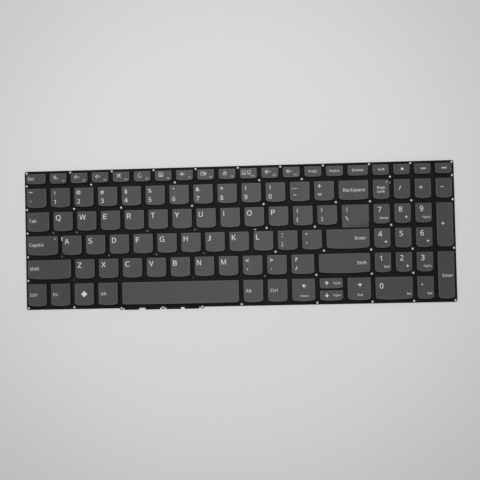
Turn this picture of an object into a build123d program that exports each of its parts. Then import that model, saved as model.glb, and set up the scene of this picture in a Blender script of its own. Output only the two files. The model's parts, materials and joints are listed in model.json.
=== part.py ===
"""Laptop replacement keyboard: a stamped plate, a membrane, and keycaps on domes and scissor links.

Millimetres, +X to the right, +Y to the rear (function row), +Z up, with the
origin under the middle of the plate, on the face it lies on.
"""
import math
import os

from build123d import *

# Key tops, in plan
KEY_WIDTH = 15.6
KEY_DEPTH = 15.65
KEY_GAP = 3.4
ROW_GAP = 3.35
FUNCTION_DEPTH = 8.45
FRONT_DEPTH = 17.9
PAD_KEY_WIDTH = 12.75

# Keys with a width of their own; a filling key, named below, takes what is left of its row
ESCAPE_WIDTH = 15.6
DELETE_WIDTH = 15.9
GRAVE_WIDTH = 16.05
BACKSPACE_WIDTH = 23.25
TAB_WIDTH = 18.0
CAPS_LOCK_WIDTH = 24.7
LEFT_SHIFT_WIDTH = 34.85
SLASH_WIDTH = 18.0
LEFT_CTRL_WIDTH = 14.9
ARROW_WIDTH = 18.2
ARROW_SPLIT = 1.2
LEDGE_DEPTH = 2.5
LEDGE_DROP = 0.4

# Keycap section: drafted walls over a hollow underside, with a bowed front edge
CAP_HEIGHT = 1.8
CAP_WALL = 1.1
CAP_CROWN = 1.0
CAP_DRAFT_ANGLE = 6.0
FRONT_BOW = 0.9
SLIGHT_BOW = 0.3
BOW_FACETS = 6
FRONT_CHAMFER = 1.1
KEY_TRAVEL = 1.4
TRAVEL_CLEARANCE = 0.4

# Plate and membrane
PLATE_THICKNESS = 0.5
PLATE_CORNER_RADIUS = 1.5
SIDE_MARGIN = 2.85
REAR_MARGIN = 2.4
FRONT_MARGIN = 3.0
MEMBRANE_THICKNESS = 0.3
MEMBRANE_INSET = 2.7

# Stake holes in the plate: round at its corners, eight-sided elsewhere, in wider membrane windows
STAKE_RADIUS = 0.85
STAKE_SIDES = 8
STAKE_INSET = 1.4
STAKE_SETBACK = 2.45
WINDOW_SIZE = 2.6

# Slots through plate and membrane: key on their left, shift right of the gap's middle, place in
# front of that key's rear edge, width and depth
SLOTS = [
    ("caps_lock", 0.0, 2.4, 1.1, 3.2),
    ("num_lock", 0.0, 2.2, 0.8, 1.2),
    ("k", 3.1, -1.4, 2.0, 0.8),
]

# Tongues and eyes along the front edge, below the space bar
TONGUE_WIDTH = 11.7
TONGUE_DEPTH = 1.4
TONGUE_OFFSET = 8.3
EYE_STEPS = (0.0, 33.4, 64.7)

# Rubber domes
DOME_SIDES = 6
DOME_BASE_RADIUS = 3.0
DOME_TOP_RADIUS = 1.6

# Scissor links: two crossed arms under each key, one on each side of its dome
LINK_WIDTH = 1.2
LINK_FOOT = 1.5
LINK_CLEARANCE = 0.4
LINK_REACH = 11.0

# Heights of the stack
MEMBRANE_TOP = PLATE_THICKNESS + MEMBRANE_THICKNESS
SKIRT_Z = MEMBRANE_TOP + TRAVEL_CLEARANCE + KEY_TRAVEL
POCKET_DEPTH = CAP_HEIGHT - CAP_CROWN
DOME_HEIGHT = SKIRT_Z + POCKET_DEPTH - MEMBRANE_TOP

# Rows from rear to front, as key names
FUNCTION_ROW = ["escape"] + [f"f{number}" for number in range(1, 13)]
FUNCTION_ROW += ["print_screen", "insert", "delete"]
NUMBER_ROW = ["grave"] + [f"digit_{number}" for number in (1, 2, 3, 4, 5, 6, 7, 8, 9, 0)]
NUMBER_ROW += ["minus", "equals", "backspace"]
UPPER_ROW = ["tab"] + list("qwertyuiop") + ["left_bracket", "right_bracket", "backslash"]
HOME_ROW = ["caps_lock"] + list("asdfghjkl") + ["semicolon", "apostrophe", "enter"]
LOWER_ROW = ["left_shift"] + list("zxcvbnm") + ["comma", "period", "slash", "right_shift"]
FRONT_ROW = ["left_ctrl", "fn", "system", "left_alt", "space", "right_alt", "right_ctrl"]
FRONT_ROW += ["arrow_left", "arrow_up", "arrow_right"]
ROWS = [FUNCTION_ROW, NUMBER_ROW, UPPER_ROW, HOME_ROW, LOWER_ROW, FRONT_ROW]
ROW_DEPTHS = [FUNCTION_DEPTH] + 4 * [KEY_DEPTH] + [FRONT_DEPTH]

# Number pad rows; a name that comes again makes its key span both places
PAD_ROWS = [
    ["media_1", "media_2", "media_3", "media_4"],
    ["num_lock", "pad_divide", "pad_multiply", "pad_minus"],
    ["pad_7", "pad_8", "pad_9", "pad_plus"],
    ["pad_4", "pad_5", "pad_6", "pad_plus"],
    ["pad_1", "pad_2", "pad_3", "pad_enter"],
    ["pad_0", "pad_0", "pad_point", "pad_enter"],
]
PAD_COLUMNS = 4

# Keys with an almost straight front edge
STRAIGHT_KEYS = FUNCTION_ROW + PAD_ROWS[0] + ["space", "arrow_up"]

# Stake holes in the channel in front of each row, named by the key on their left; they lie the
# setback behind the next row
REAR_STAKES = ["f1", "f3", "f5", "f7", "f9", "f11", "print_screen", "delete", "media_2"]
CHANNEL_STAKES = [
    ["left_edge", "f2", "f6", "f10", "f12", "media_1", "right_edge"],
    ["left_edge", "digit_1", "digit_3", "digit_6", "digit_9", "equals", "backspace",
     "pad_divide", "right_edge"],
    ["left_edge", "tab", "q", "r", "y", "o", "left_bracket", "pad_7"],
    ["left_edge", "caps_lock", "s", "f", "h", "l", "apostrophe", "enter", "pad_5", "right_edge"],
    ["left_edge", "fn", "b", "comma", "slash", "right_shift", "pad_2"],
]
FRONT_STAKES = ["fn", "space", "arrow_left", "arrow_right", "pad_0"]

# Keys that share a node with their row; every other key is a node of its own
GROUPS = {
    "function_row_keys": FUNCTION_ROW + PAD_ROWS[0],
    "number_row_keys": NUMBER_ROW,
    "number_pad_keys": ["num_lock", "pad_divide", "pad_multiply", "pad_minus", "pad_7", "pad_8",
                        "pad_9", "pad_4", "pad_5", "pad_6", "pad_1", "pad_2", "pad_3", "pad_point"],
}

# Plan of the plate; the number row sets the width of the main block
MAIN_WIDTH = GRAVE_WIDTH + len(NUMBER_ROW[1:-1]) * KEY_WIDTH + BACKSPACE_WIDTH
MAIN_WIDTH += len(NUMBER_ROW[1:]) * KEY_GAP
PAD_WIDTH = PAD_COLUMNS * PAD_KEY_WIDTH + (PAD_COLUMNS - 1) * KEY_GAP
FIELD_WIDTH = MAIN_WIDTH + KEY_GAP + PAD_WIDTH
FIELD_DEPTH = sum(ROW_DEPTHS) + (len(ROWS) - 1) * ROW_GAP
PLATE_WIDTH = FIELD_WIDTH + 2 * SIDE_MARGIN
PLATE_DEPTH = REAR_MARGIN + FIELD_DEPTH + FRONT_MARGIN
REAR_EDGE = (PLATE_DEPTH + TONGUE_DEPTH) / 2
FRONT_EDGE = REAR_EDGE - PLATE_DEPTH
FUNCTION_ROOM = MAIN_WIDTH - ESCAPE_WIDTH - DELETE_WIDTH - len(FUNCTION_ROW[1:]) * KEY_GAP
FUNCTION_WIDTH = FUNCTION_ROOM / len(FUNCTION_ROW[1:-1])

OWN_WIDTHS = {
    "escape": ESCAPE_WIDTH, "delete": DELETE_WIDTH, "grave": GRAVE_WIDTH,
    "backspace": BACKSPACE_WIDTH, "tab": TAB_WIDTH, "caps_lock": CAPS_LOCK_WIDTH,
    "left_shift": LEFT_SHIFT_WIDTH, "slash": SLASH_WIDTH, "left_ctrl": LEFT_CTRL_WIDTH,
    "arrow_left": ARROW_WIDTH, "arrow_up": ARROW_WIDTH, "arrow_right": ARROW_WIDTH,
}
FILLING_KEYS = ("backslash", "enter", "right_shift", "space")


def row_widths(row):
    """Widths of a row's keys, with its filling key as wide as the block leaves room for."""
    usual = FUNCTION_WIDTH if row is FUNCTION_ROW else KEY_WIDTH
    widths = {name: OWN_WIDTHS.get(name, usual) for name in row}
    for name in FILLING_KEYS:
        if name in widths:
            others = sum(width for other, width in widths.items() if other != name)
            widths[name] = MAIN_WIDTH - others - (len(row) - 1) * KEY_GAP
    return widths


def row_rears():
    """Y of the rear edge of each row's keys."""
    rears = []
    rear = REAR_EDGE - REAR_MARGIN
    for depth in ROW_DEPTHS:
        rears.append(rear)
        rear -= depth + ROW_GAP
    return rears


def key_places():
    """Plan of every key as name: (left, right, front, rear)."""
    places = {}
    pad_left = -FIELD_WIDTH / 2 + MAIN_WIDTH + KEY_GAP
    for row, pad_row, rear, depth in zip(ROWS, PAD_ROWS, row_rears(), ROW_DEPTHS):
        left = -FIELD_WIDTH / 2
        for name, width in row_widths(row).items():
            places[name] = (left, left + width, rear - depth, rear)
            left += width + KEY_GAP
        for column, name in enumerate(pad_row):
            left = pad_left + column * (PAD_KEY_WIDTH + KEY_GAP)
            first_left, _, _, first_rear = places.get(name, (left, 0, 0, rear))
            places[name] = (first_left, left + PAD_KEY_WIDTH, rear - depth, first_rear)
    left, right, front, rear = places["arrow_up"]
    middle = (front + rear) / 2
    places["arrow_up"] = (left, right, middle + ARROW_SPLIT / 2, rear)
    places["arrow_down"] = (left, right, front, middle - ARROW_SPLIT / 2)
    return places


def front_bow(name):
    """How far the front edge of a key bows out."""
    return SLIGHT_BOW if name in STRAIGHT_KEYS else FRONT_BOW


def bowed_outline(width, depth, bow):
    """Keycap outline about its middle: square at the rear, cut corners and a faceted bow at the front."""
    half, rear, front = width / 2, depth / 2, -depth / 2
    corner = front + bow + FRONT_CHAMFER
    reach = half - FRONT_CHAMFER
    steps = [2 * step / BOW_FACETS - 1 for step in range(BOW_FACETS + 1)]
    bowed = [(reach * step, front + bow * (reach * step / half) ** 2) for step in steps]
    outline = Polyline((half, corner), (half, rear), (-half, rear), (-half, corner), *bowed, close=True)
    return make_face(outline)


def keycap(name, place):
    """A hollow keycap at its place, at rest."""
    left, right, front, rear = place
    width, depth, bow = right - left, rear - front, front_bow(name)
    cap = extrude(bowed_outline(width, depth, bow), CAP_HEIGHT, taper=CAP_DRAFT_ANGLE)
    pocket = Rectangle(width - 2 * CAP_WALL, depth - bow - 2 * CAP_WALL)
    cap -= Pos(0, bow / 2) * extrude(pocket, POCKET_DEPTH)
    return Pos((left + right) / 2, (front + rear) / 2, SKIRT_Z) * cap


def ledged_keycap(name, place):
    """The keycap behind the Enter key, with a low ledge that fills the channel in front of it."""
    left, right, front, _ = place
    overlap = front_bow(name) + CAP_WALL / 2
    ledge = Rectangle(right - left, LEDGE_DEPTH + overlap)
    ledge = chamfer(ledge.vertices().group_by(Axis.Y)[0], FRONT_CHAMFER)
    ledge = extrude(ledge, CAP_HEIGHT - LEDGE_DROP, taper=CAP_DRAFT_ANGLE)
    middle = front + (overlap - LEDGE_DEPTH) / 2
    return keycap(name, place) + Pos((left + right) / 2, middle, SKIRT_Z) * ledge


def stake_places(places):
    """Middles of the stake holes: the four corners, the other edge holes, and those in the channels."""
    side = PLATE_WIDTH / 2 - STAKE_INSET
    across = {name: place[1] + KEY_GAP / 2 for name, place in places.items()}
    across.update(left_edge=-side, right_edge=side)
    rear = REAR_EDGE - STAKE_INSET
    front = FRONT_EDGE + STAKE_INSET
    corners = [(x, y) for x in (-side, side) for y in (front, rear)]
    edge = [(across[name], rear) for name in REAR_STAKES]
    edge += [(across[name], front) for name in FRONT_STAKES]
    inner = []
    for names, next_rear in zip(CHANNEL_STAKES, row_rears()[1:]):
        for name in names:
            places_here = edge if name.endswith("_edge") else inner
            places_here.append((across[name], next_rear + STAKE_SETBACK))
    return corners, edge, inner


def eye_places(places):
    """Middles of the eyes on the front edge, from the left end of the space bar."""
    start = places["space"][0] - KEY_GAP / 2
    return [(start + step, FRONT_EDGE) for step in EYE_STEPS]


def slot_outlines(places):
    """Outlines of the slots that pass through the plate and the membrane."""
    outlines = []
    for name, shift, setback, width, depth in SLOTS:
        _, right, _, rear = places[name]
        outlines.append(Pos(right + KEY_GAP / 2 + shift, rear - setback) * Rectangle(width, depth))
    return outlines


def base_plate(places):
    """The stamped plate with its front tongues and eyes, stake holes and slots."""
    sheet = Pos(0, (REAR_EDGE + FRONT_EDGE) / 2) * Rectangle(PLATE_WIDTH, PLATE_DEPTH)
    sheet = fillet(sheet.vertices(), PLATE_CORNER_RADIUS)
    eyes = eye_places(places)
    for x, y in eyes:
        sheet += Pos(x, y) * Circle(TONGUE_DEPTH)
    for (left, y), (right, _) in zip(eyes, eyes[1:]):
        for middle in (left + TONGUE_OFFSET, right - TONGUE_OFFSET):
            sheet += Pos(middle, y) * Rectangle(TONGUE_WIDTH, 2 * TONGUE_DEPTH)
    corners, edge, inner = stake_places(places)
    sheet -= [Pos(x, y) * Circle(STAKE_RADIUS) for x, y in corners]
    sheet -= [Pos(x, y) * RegularPolygon(STAKE_RADIUS, STAKE_SIDES) for x, y in edge + inner + eyes]
    return extrude(sheet - slot_outlines(places), PLATE_THICKNESS)


def membrane(places):
    """The switch sheet on the plate, with a window round each stake hole in the channels."""
    _, _, inner = stake_places(places)
    sheet = Rectangle(PLATE_WIDTH - 2 * MEMBRANE_INSET, PLATE_DEPTH - 2 * MEMBRANE_INSET)
    sheet = Pos(0, (REAR_EDGE + FRONT_EDGE) / 2) * sheet
    sheet -= [Pos(x, y) * Rectangle(WINDOW_SIZE, WINDOW_SIZE) for x, y in inner]
    return Pos(0, 0, PLATE_THICKNESS) * extrude(sheet - slot_outlines(places), MEMBRANE_THICKNESS)


def rubber_dome():
    """One dome spring with drafted sides, as tall as from the membrane to the ceiling of a keycap."""
    flat_share = math.cos(math.pi / DOME_SIDES)
    draft_angle = math.degrees(math.atan2((DOME_BASE_RADIUS - DOME_TOP_RADIUS) * flat_share, DOME_HEIGHT))
    return extrude(RegularPolygon(DOME_BASE_RADIUS, DOME_SIDES), DOME_HEIGHT, taper=draft_angle)


def hollow_middle(name, place):
    """Point on the membrane under the middle of a key's hollow."""
    left, right, front, rear = place
    return Pos((left + right) / 2, (front + rear + front_bow(name)) / 2, MEMBRANE_TOP)


def rubber_domes(places):
    """A dome under the middle of every key's hollow."""
    dome = rubber_dome()
    return Compound([hollow_middle(name, place) * dome for name, place in places.items()])


def scissor_arm(reach):
    """One slanted arm, flat where it stands on the membrane and where it carries the keycap."""
    half = reach / 2
    points = [(-half, 0), (LINK_FOOT - half, 0), (half, DOME_HEIGHT), (half - LINK_FOOT, DOME_HEIGHT)]
    side = Plane.YZ * make_face(Polyline(*points, close=True))
    return extrude(side, LINK_WIDTH / 2, both=True)


def scissor_links(places):
    """Two arms under every key that cross as seen from the side."""
    offset = DOME_BASE_RADIUS + LINK_CLEARANCE + LINK_WIDTH / 2
    arms = []
    for name, place in places.items():
        _, _, front, rear = place
        room = rear - front - front_bow(name) - 2 * (CAP_WALL + LINK_CLEARANCE)
        arm = scissor_arm(min(room, LINK_REACH))
        middle = hollow_middle(name, place)
        arms.append(middle * Pos(-offset, 0) * arm)
        arms.append(middle * Pos(offset, 0) * Rot(0, 0, 180) * arm)
    return Compound(arms)


def main():
    """Build every node and write it to its own file."""
    places = key_places()
    caps = {name: keycap(name, place) for name, place in places.items() if name != "backslash"}
    caps["backslash"] = ledged_keycap("backslash", places["backslash"])
    nodes = {
        "base_plate": base_plate(places),
        "membrane": membrane(places),
        "rubber_domes": rubber_domes(places),
        "scissor_links": scissor_links(places),
    }
    for group, names in GROUPS.items():
        nodes[group] = Compound([caps.pop(name) for name in names])
    nodes.update({f"key_{name}": cap for name, cap in caps.items()})
    os.makedirs("parts", exist_ok=True)
    for name, shape in nodes.items():
        export_step(shape, f"parts/{name}.step")


main()
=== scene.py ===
"""Dresses the laptop replacement keyboard: printed keycaps on scissor links over a stamped plate.

Shapes are modelled in millimetres about their own middle, then placed in the
frame, which is in metres: +X right, +Y to the function row, +Z up.
"""
import json
import logging
import math
from collections.abc import Callable, Iterator
from contextlib import contextmanager
from dataclasses import dataclass, field
from enum import Enum
from typing import Any, NamedTuple

import bmesh
import bpy
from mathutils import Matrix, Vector


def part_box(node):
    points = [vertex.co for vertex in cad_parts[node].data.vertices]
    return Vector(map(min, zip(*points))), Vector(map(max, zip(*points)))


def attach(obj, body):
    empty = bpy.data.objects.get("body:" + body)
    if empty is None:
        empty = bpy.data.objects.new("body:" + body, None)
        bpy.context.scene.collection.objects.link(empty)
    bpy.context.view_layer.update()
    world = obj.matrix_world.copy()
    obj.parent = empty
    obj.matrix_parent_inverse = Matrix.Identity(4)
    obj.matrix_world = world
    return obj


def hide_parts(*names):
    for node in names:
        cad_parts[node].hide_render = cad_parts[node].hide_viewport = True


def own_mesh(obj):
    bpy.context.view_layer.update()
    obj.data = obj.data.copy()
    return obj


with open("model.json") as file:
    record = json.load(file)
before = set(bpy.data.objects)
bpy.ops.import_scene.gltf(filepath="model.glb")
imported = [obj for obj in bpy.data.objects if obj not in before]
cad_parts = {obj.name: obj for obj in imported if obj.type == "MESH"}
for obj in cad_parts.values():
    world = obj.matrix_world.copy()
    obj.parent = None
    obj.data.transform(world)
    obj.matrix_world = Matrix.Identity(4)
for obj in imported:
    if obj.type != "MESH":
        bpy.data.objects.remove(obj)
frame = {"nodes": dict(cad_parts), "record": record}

LOG = logging.getLogger("keyboard")
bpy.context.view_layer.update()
MM = 0.001
FIXED_BODY = "plate"
DOUBLES = 0.0001
NODE_DOUBLES = 0.001 * MM
TOLERANCE = 0.01
SMOOTH_ANGLE = math.radians(40.0)
SHEET_SMOOTH_ANGLE = math.radians(35.0)

Colour = tuple[float, float, float]
Point = tuple[float, float]


class Pick(Enum):
    """Which elements of a mesh in edit mode are selected."""

    VERT = "verts"
    EDGE = "edges"
    FACE = "faces"


class Side(Enum):
    """Where a legend sits across its keycap, and what its inset is measured from."""

    LEFT = "left edge of the legend, from the left edge of the key"
    COLUMN = "middle of the legend, from the left edge of the key"
    MIDDLE = "middle of the legend, from the middle of the key"
    RIGHT_COLUMN = "middle of the legend, from the right edge of the key"
    RIGHT = "right edge of the legend, from the right edge of the key"


class Level(Enum):
    """Where a legend sits from rear to front, and what its inset is measured from."""

    REAR = "top of the capitals, from the rear edge of the key"
    MIDDLE = "middle of the capitals, from the middle of the key"
    FRONT = "base line, from the front edge of the key"


@contextmanager
def edit_mode() -> Iterator[None]:
    """Puts the active object in edit mode for the length of a with block."""
    bpy.ops.object.mode_set(mode="EDIT")
    yield
    bpy.ops.object.mode_set(mode="OBJECT")


def select(kind: Pick, test: Callable[[Any], bool]) -> None:
    """Selects, in edit mode, the elements that pass a test and no others.

    Args:
        kind: Whether vertices, edges or faces are tested.
        test: Says whether an element is wanted.
    """
    bpy.ops.mesh.select_mode(type=kind.name)
    bpy.ops.mesh.select_all(action="DESELECT")
    mesh = bpy.context.object.data
    shape = bmesh.from_edit_mesh(mesh)
    for element in getattr(shape, kind.value):
        if test(element):
            element.select_set(True)
    shape.select_flush_mode()
    bmesh.update_edit_mesh(mesh)


def extrude(offset: Vector | tuple[float, float, float]) -> None:
    """Extrudes the selected faces by an offset, which stay selected."""
    bpy.ops.mesh.extrude_region_move(TRANSFORM_OT_translate={"value": offset})


def choose(*objects: bpy.types.Object) -> None:
    """Selects these objects and no others, and makes the first one active.

    Args:
        objects: The objects, at least one.
    """
    bpy.ops.object.select_all(action="DESELECT")
    for item in objects:
        item.select_set(True)
    bpy.context.view_layer.objects.active = objects[0]


def copy_of(template: bpy.types.Object) -> bpy.types.Object:
    """Copies an object with a mesh of its own.

    Args:
        template: The object to copy.

    Returns:
        The copy, selected alone.
    """
    choose(template)
    bpy.ops.object.duplicate(linked=False)
    return bpy.context.object


def joined(objects: list[bpy.types.Object], name: str) -> bpy.types.Object:
    """Joins objects into the first one.

    Args:
        objects: The objects, of which the first keeps its material slots in place.
        name: The name of the joined piece.

    Returns:
        The joined piece.
    """
    choose(*objects)
    if len(objects) > 1:
        bpy.ops.object.join()
    piece = bpy.context.object
    piece.name = name
    piece.data.name = name
    return piece


def settle(piece: bpy.types.Object, place: Vector) -> None:
    """Moves a piece modelled in millimetres to its place in metres, with both in its mesh.

    Args:
        piece: The piece, about its own origin.
        place: Where that origin goes in the frame.
    """
    choose(piece)
    piece.scale = (MM, MM, MM)
    piece.location = place
    bpy.ops.object.transform_apply(location=True, rotation=True, scale=True)


def apply_modifier(piece: bpy.types.Object, kind: str, **settings: Any) -> None:
    """Adds a modifier to a piece and applies it.

    Args:
        piece: The piece to change.
        kind: Blender's name for the kind of modifier.
        settings: Values of the modifier's own properties.
    """
    choose(piece)
    modifier = piece.modifiers.new(kind.title(), kind)
    for name, value in settings.items():
        setattr(modifier, name, value)
    bpy.ops.object.modifier_apply(modifier=modifier.name)


@dataclass(frozen=True)
class Box:
    """An upright box in the frame, in metres."""

    low: Vector
    high: Vector

    @property
    def middle(self) -> Vector:
        """Middle of the box."""
        return (self.low + self.high) / 2

    @property
    def size(self) -> Vector:
        """Edge lengths of the box."""
        return self.high - self.low

    def covers(self, point: Vector) -> bool:
        """Whether a point lies within the box as seen from above."""
        return all(self.low[i] <= point[i] <= self.high[i] for i in (0, 1))


def upright(face: Any) -> bool:
    """Whether a face of a sheet is a wall of its edge or of an opening."""
    return abs(face.normal.z) < 0.5


def loose_boxes(node: str, wanted: Callable[[Any], bool] = lambda face: True) -> list[Box]:
    """Boxes of the separate patches of faces of a CAD node.

    Args:
        node: Name of the node.
        wanted: Says which faces count.

    Returns:
        One box for each group of wanted faces that hang together.
    """
    shape = bmesh.new()
    shape.from_mesh(frame["nodes"][node].data)
    bmesh.ops.remove_doubles(shape, verts=shape.verts, dist=NODE_DOUBLES)
    left = {face for face in shape.faces if wanted(face)}
    boxes = []
    while left:
        patch, edge_of_patch = set(), [left.pop()]
        while edge_of_patch:
            face = edge_of_patch.pop()
            patch.update(vert.co.copy().freeze() for vert in face.verts)
            near = {other for edge in face.edges for other in edge.link_faces} & left
            left -= near
            edge_of_patch.extend(near)
        low = Vector([min(point[i] for point in patch) for i in range(3)])
        high = Vector([max(point[i] for point in patch) for i in range(3)])
        boxes.append(Box(low, high))
    shape.free()
    return boxes


@dataclass(frozen=True)
class Finish:
    """A procedural finish: two close tones in patches, with a fine grain in gloss and relief."""

    name: str
    dark: Colour
    light: Colour
    patch_size: float
    grain_size: float
    grain_depth: float
    gloss_low: float
    gloss_high: float
    specular: float = 0.5
    sheen: float = 0.0
    see_in: float = 0.0

    RAMP = (0.3, 0.7)
    PATCH_DETAIL = 3.0
    GRAIN_DETAIL = 2.0

    def material(self) -> bpy.types.Material:
        """Makes the material, once for each finish.

        Returns:
            The material with its nodes.
        """
        found = bpy.data.materials.get(self.name)
        if found:
            return found
        material = bpy.data.materials.new(self.name)
        material.use_nodes = True
        nodes, links = material.node_tree.nodes, material.node_tree.links
        shader = nodes["Principled BSDF"]
        shader.inputs["Specular IOR Level"].default_value = self.specular
        shader.inputs["Sheen Weight"].default_value = self.sheen
        shader.inputs["Subsurface Weight"].default_value = self.see_in
        place = nodes.new("ShaderNodeTexCoord")
        patches = self._noise(nodes, links, place, self.patch_size, self.PATCH_DETAIL)
        tones = nodes.new("ShaderNodeValToRGB")
        for stop, position, tone in zip(tones.color_ramp.elements, self.RAMP, (self.dark, self.light)):
            stop.position = position
            stop.color = (*tone, 1.0)
        links.new(patches.outputs["Fac"], tones.inputs["Fac"])
        links.new(tones.outputs["Color"], shader.inputs["Base Color"])
        grain = self._noise(nodes, links, place, self.grain_size, self.GRAIN_DETAIL)
        gloss = nodes.new("ShaderNodeMapRange")
        gloss.inputs["From Min"].default_value, gloss.inputs["From Max"].default_value = self.RAMP
        gloss.inputs["To Min"].default_value = self.gloss_low
        gloss.inputs["To Max"].default_value = self.gloss_high
        links.new(grain.outputs["Fac"], gloss.inputs["Value"])
        links.new(gloss.outputs["Result"], shader.inputs["Roughness"])
        relief = nodes.new("ShaderNodeBump")
        relief.inputs["Strength"].default_value = 1.0
        relief.inputs["Distance"].default_value = self.grain_depth * MM
        links.new(grain.outputs["Fac"], relief.inputs["Height"])
        links.new(relief.outputs["Normal"], shader.inputs["Normal"])
        return material

    @staticmethod
    def _noise(nodes: Any, links: Any, place: Any, size: float, detail: float) -> Any:
        """Adds a noise texture on Object coordinates.

        Args:
            nodes: Nodes of the material.
            links: Links of the material.
            place: The node that gives the coordinates.
            size: About the size of the noise's features, in millimetres.
            detail: How much finer noise is added.

        Returns:
            The texture node.
        """
        noise = nodes.new("ShaderNodeTexNoise")
        noise.inputs["Scale"].default_value = 1.0 / (size * MM)
        noise.inputs["Detail"].default_value = detail
        links.new(place.outputs["Object"], noise.inputs["Vector"])
        return noise


CAP_PLASTIC = Finish(
    "moulded_cap_plastic", (0.0355, 0.0365, 0.0375), (0.041, 0.042, 0.043),
    patch_size=9.0, grain_size=0.16, grain_depth=0.012, gloss_low=0.46, gloss_high=0.60, specular=0.45,
)
# A little glossier than the cap plastic, and lighter: a painted highlight along the rims of the caps.
CAP_RIM_GLOSS_AND_HIGHLIGHT = Finish(
    "smooth_cap_rim", (0.064, 0.065, 0.067), (0.072, 0.073, 0.075),
    patch_size=6.0, grain_size=0.3, grain_depth=0.004, gloss_low=0.40, gloss_high=0.50, specular=0.45,
)
LEGEND_INK = Finish(
    "legend_ink", (0.60, 0.60, 0.60), (0.70, 0.70, 0.69),
    patch_size=1.2, grain_size=0.12, grain_depth=0.004, gloss_low=0.45, gloss_high=0.60,
)
PLATE_PAINT = Finish(
    "black_plate_paint", (0.0045, 0.0045, 0.0050), (0.0065, 0.0065, 0.0070),
    patch_size=14.0, grain_size=0.30, grain_depth=0.010, gloss_low=0.55, gloss_high=0.70, specular=0.10,
)
MEMBRANE_FILM = Finish(
    "black_membrane_film", (0.008, 0.008, 0.009), (0.011, 0.011, 0.012),
    patch_size=20.0, grain_size=0.8, grain_depth=0.006, gloss_low=0.55, gloss_high=0.70, specular=0.08,
)
# Painted shade: grey and dark discs in the stake holes stand for the shade seen through them where the plate
# lifts off the table.
GREY_HOLE_SHADE = Finish(
    "smoked_film", (0.05, 0.05, 0.05), (0.19, 0.19, 0.19),
    patch_size=26.0, grain_size=0.5, grain_depth=0.004, gloss_low=0.5, gloss_high=0.65, specular=0.2,
)
DARK_HOLE_SHADE = Finish(
    "dark_film", (0.018, 0.018, 0.018), (0.042, 0.042, 0.042),
    patch_size=26.0, grain_size=0.5, grain_depth=0.004, gloss_low=0.5, gloss_high=0.65, specular=0.2,
)
DOME_RUBBER = Finish(
    "dome_rubber", (0.40, 0.42, 0.43), (0.47, 0.48, 0.49),
    patch_size=3.0, grain_size=0.25, grain_depth=0.006, gloss_low=0.42, gloss_high=0.55, see_in=0.15,
)
LINK_PLASTIC = Finish(
    "white_link_plastic", (0.66, 0.66, 0.64), (0.72, 0.72, 0.70),
    patch_size=4.0, grain_size=0.2, grain_depth=0.006, gloss_low=0.34, gloss_high=0.46,
)


@dataclass(frozen=True)
class TableFinish:
    """Plain pale paper with painted shade: its tone falls off softly away from the part, as the light does.
    """

    name: str = "pale_table"
    # Painted shade: the far tone darkens the table away from the part.
    near: Colour = (0.745, 0.745, 0.742)
    far: Colour = (0.655, 0.65, 0.64)
    near_reach: float = 0.12
    far_reach: float = 0.29
    fibre_size: float = 3.0
    fibre_depth: float = 0.01
    roughness: float = 0.8
    specular: float = 0.2

    def material(self) -> bpy.types.Material:
        """Makes the material.

        Returns:
            The material with its nodes.
        """
        material = bpy.data.materials.new(self.name)
        material.use_nodes = True
        nodes, links = material.node_tree.nodes, material.node_tree.links
        shader = nodes["Principled BSDF"]
        shader.inputs["Roughness"].default_value = self.roughness
        shader.inputs["Specular IOR Level"].default_value = self.specular
        place = nodes.new("ShaderNodeTexCoord")
        reach = nodes.new("ShaderNodeVectorMath")
        reach.operation = "LENGTH"
        links.new(place.outputs["Object"], reach.inputs[0])
        fall = nodes.new("ShaderNodeMapRange")
        fall.interpolation_type = "SMOOTHSTEP"
        fall.inputs["From Min"].default_value = self.near_reach
        fall.inputs["From Max"].default_value = self.far_reach
        links.new(reach.outputs["Value"], fall.inputs["Value"])
        tones = nodes.new("ShaderNodeValToRGB")
        tones.color_ramp.elements[0].color = (*self.near, 1.0)
        tones.color_ramp.elements[1].color = (*self.far, 1.0)
        links.new(fall.outputs["Result"], tones.inputs["Fac"])
        links.new(tones.outputs["Color"], shader.inputs["Base Color"])
        fibres = nodes.new("ShaderNodeTexNoise")
        fibres.inputs["Scale"].default_value = 1.0 / (self.fibre_size * MM)
        links.new(place.outputs["Object"], fibres.inputs["Vector"])
        relief = nodes.new("ShaderNodeBump")
        relief.inputs["Distance"].default_value = self.fibre_depth * MM
        links.new(fibres.outputs["Fac"], relief.inputs["Height"])
        links.new(relief.outputs["Normal"], shader.inputs["Normal"])
        return material


TABLE_PAPER = TableFinish()


@dataclass(frozen=True)
class Bar:
    """A straight stroke of an icon, in millimetres about the icon's middle."""

    start: Point
    end: Point
    width: float = 0.4

    def add(self) -> None:
        """Adds the stroke as a flat face."""
        run = Vector(self.end) - Vector(self.start)
        middle = (Vector(self.end) + Vector(self.start)) / 2
        turn = math.atan2(run.y, run.x)
        bpy.ops.mesh.primitive_plane_add(size=1.0, location=(*middle, 0.0), rotation=(0.0, 0.0, turn))
        bpy.context.object.scale = (run.length, self.width, 1.0)


@dataclass(frozen=True)
class Blot:
    """A filled circle, or a regular polygon of few corners, in millimetres about the icon's middle."""

    centre: Point
    radius: float
    corners: int = 16
    turn: float = 0.0

    def add(self) -> None:
        """Adds the blot as a flat face; a turn of 0 puts a corner to the rear."""
        bpy.ops.mesh.primitive_circle_add(
            vertices=self.corners, radius=self.radius, fill_type="NGON", location=(*self.centre, 0.0),
            rotation=(0.0, 0.0, math.radians(self.turn)),
        )


@dataclass(frozen=True)
class Ring:
    """A round or polygonal outline of an even width, in millimetres about the icon's middle."""

    centre: Point
    radius: float
    width: float = 0.4
    corners: int = 20
    turn: float = 0.0

    def add(self) -> None:
        """Adds the ring as flat faces."""
        Blot(self.centre, self.radius, self.corners, self.turn).add()
        with edit_mode():
            bpy.ops.mesh.select_all(action="SELECT")
            bpy.ops.mesh.inset(thickness=self.width)
            bpy.ops.mesh.delete(type="FACE")


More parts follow.
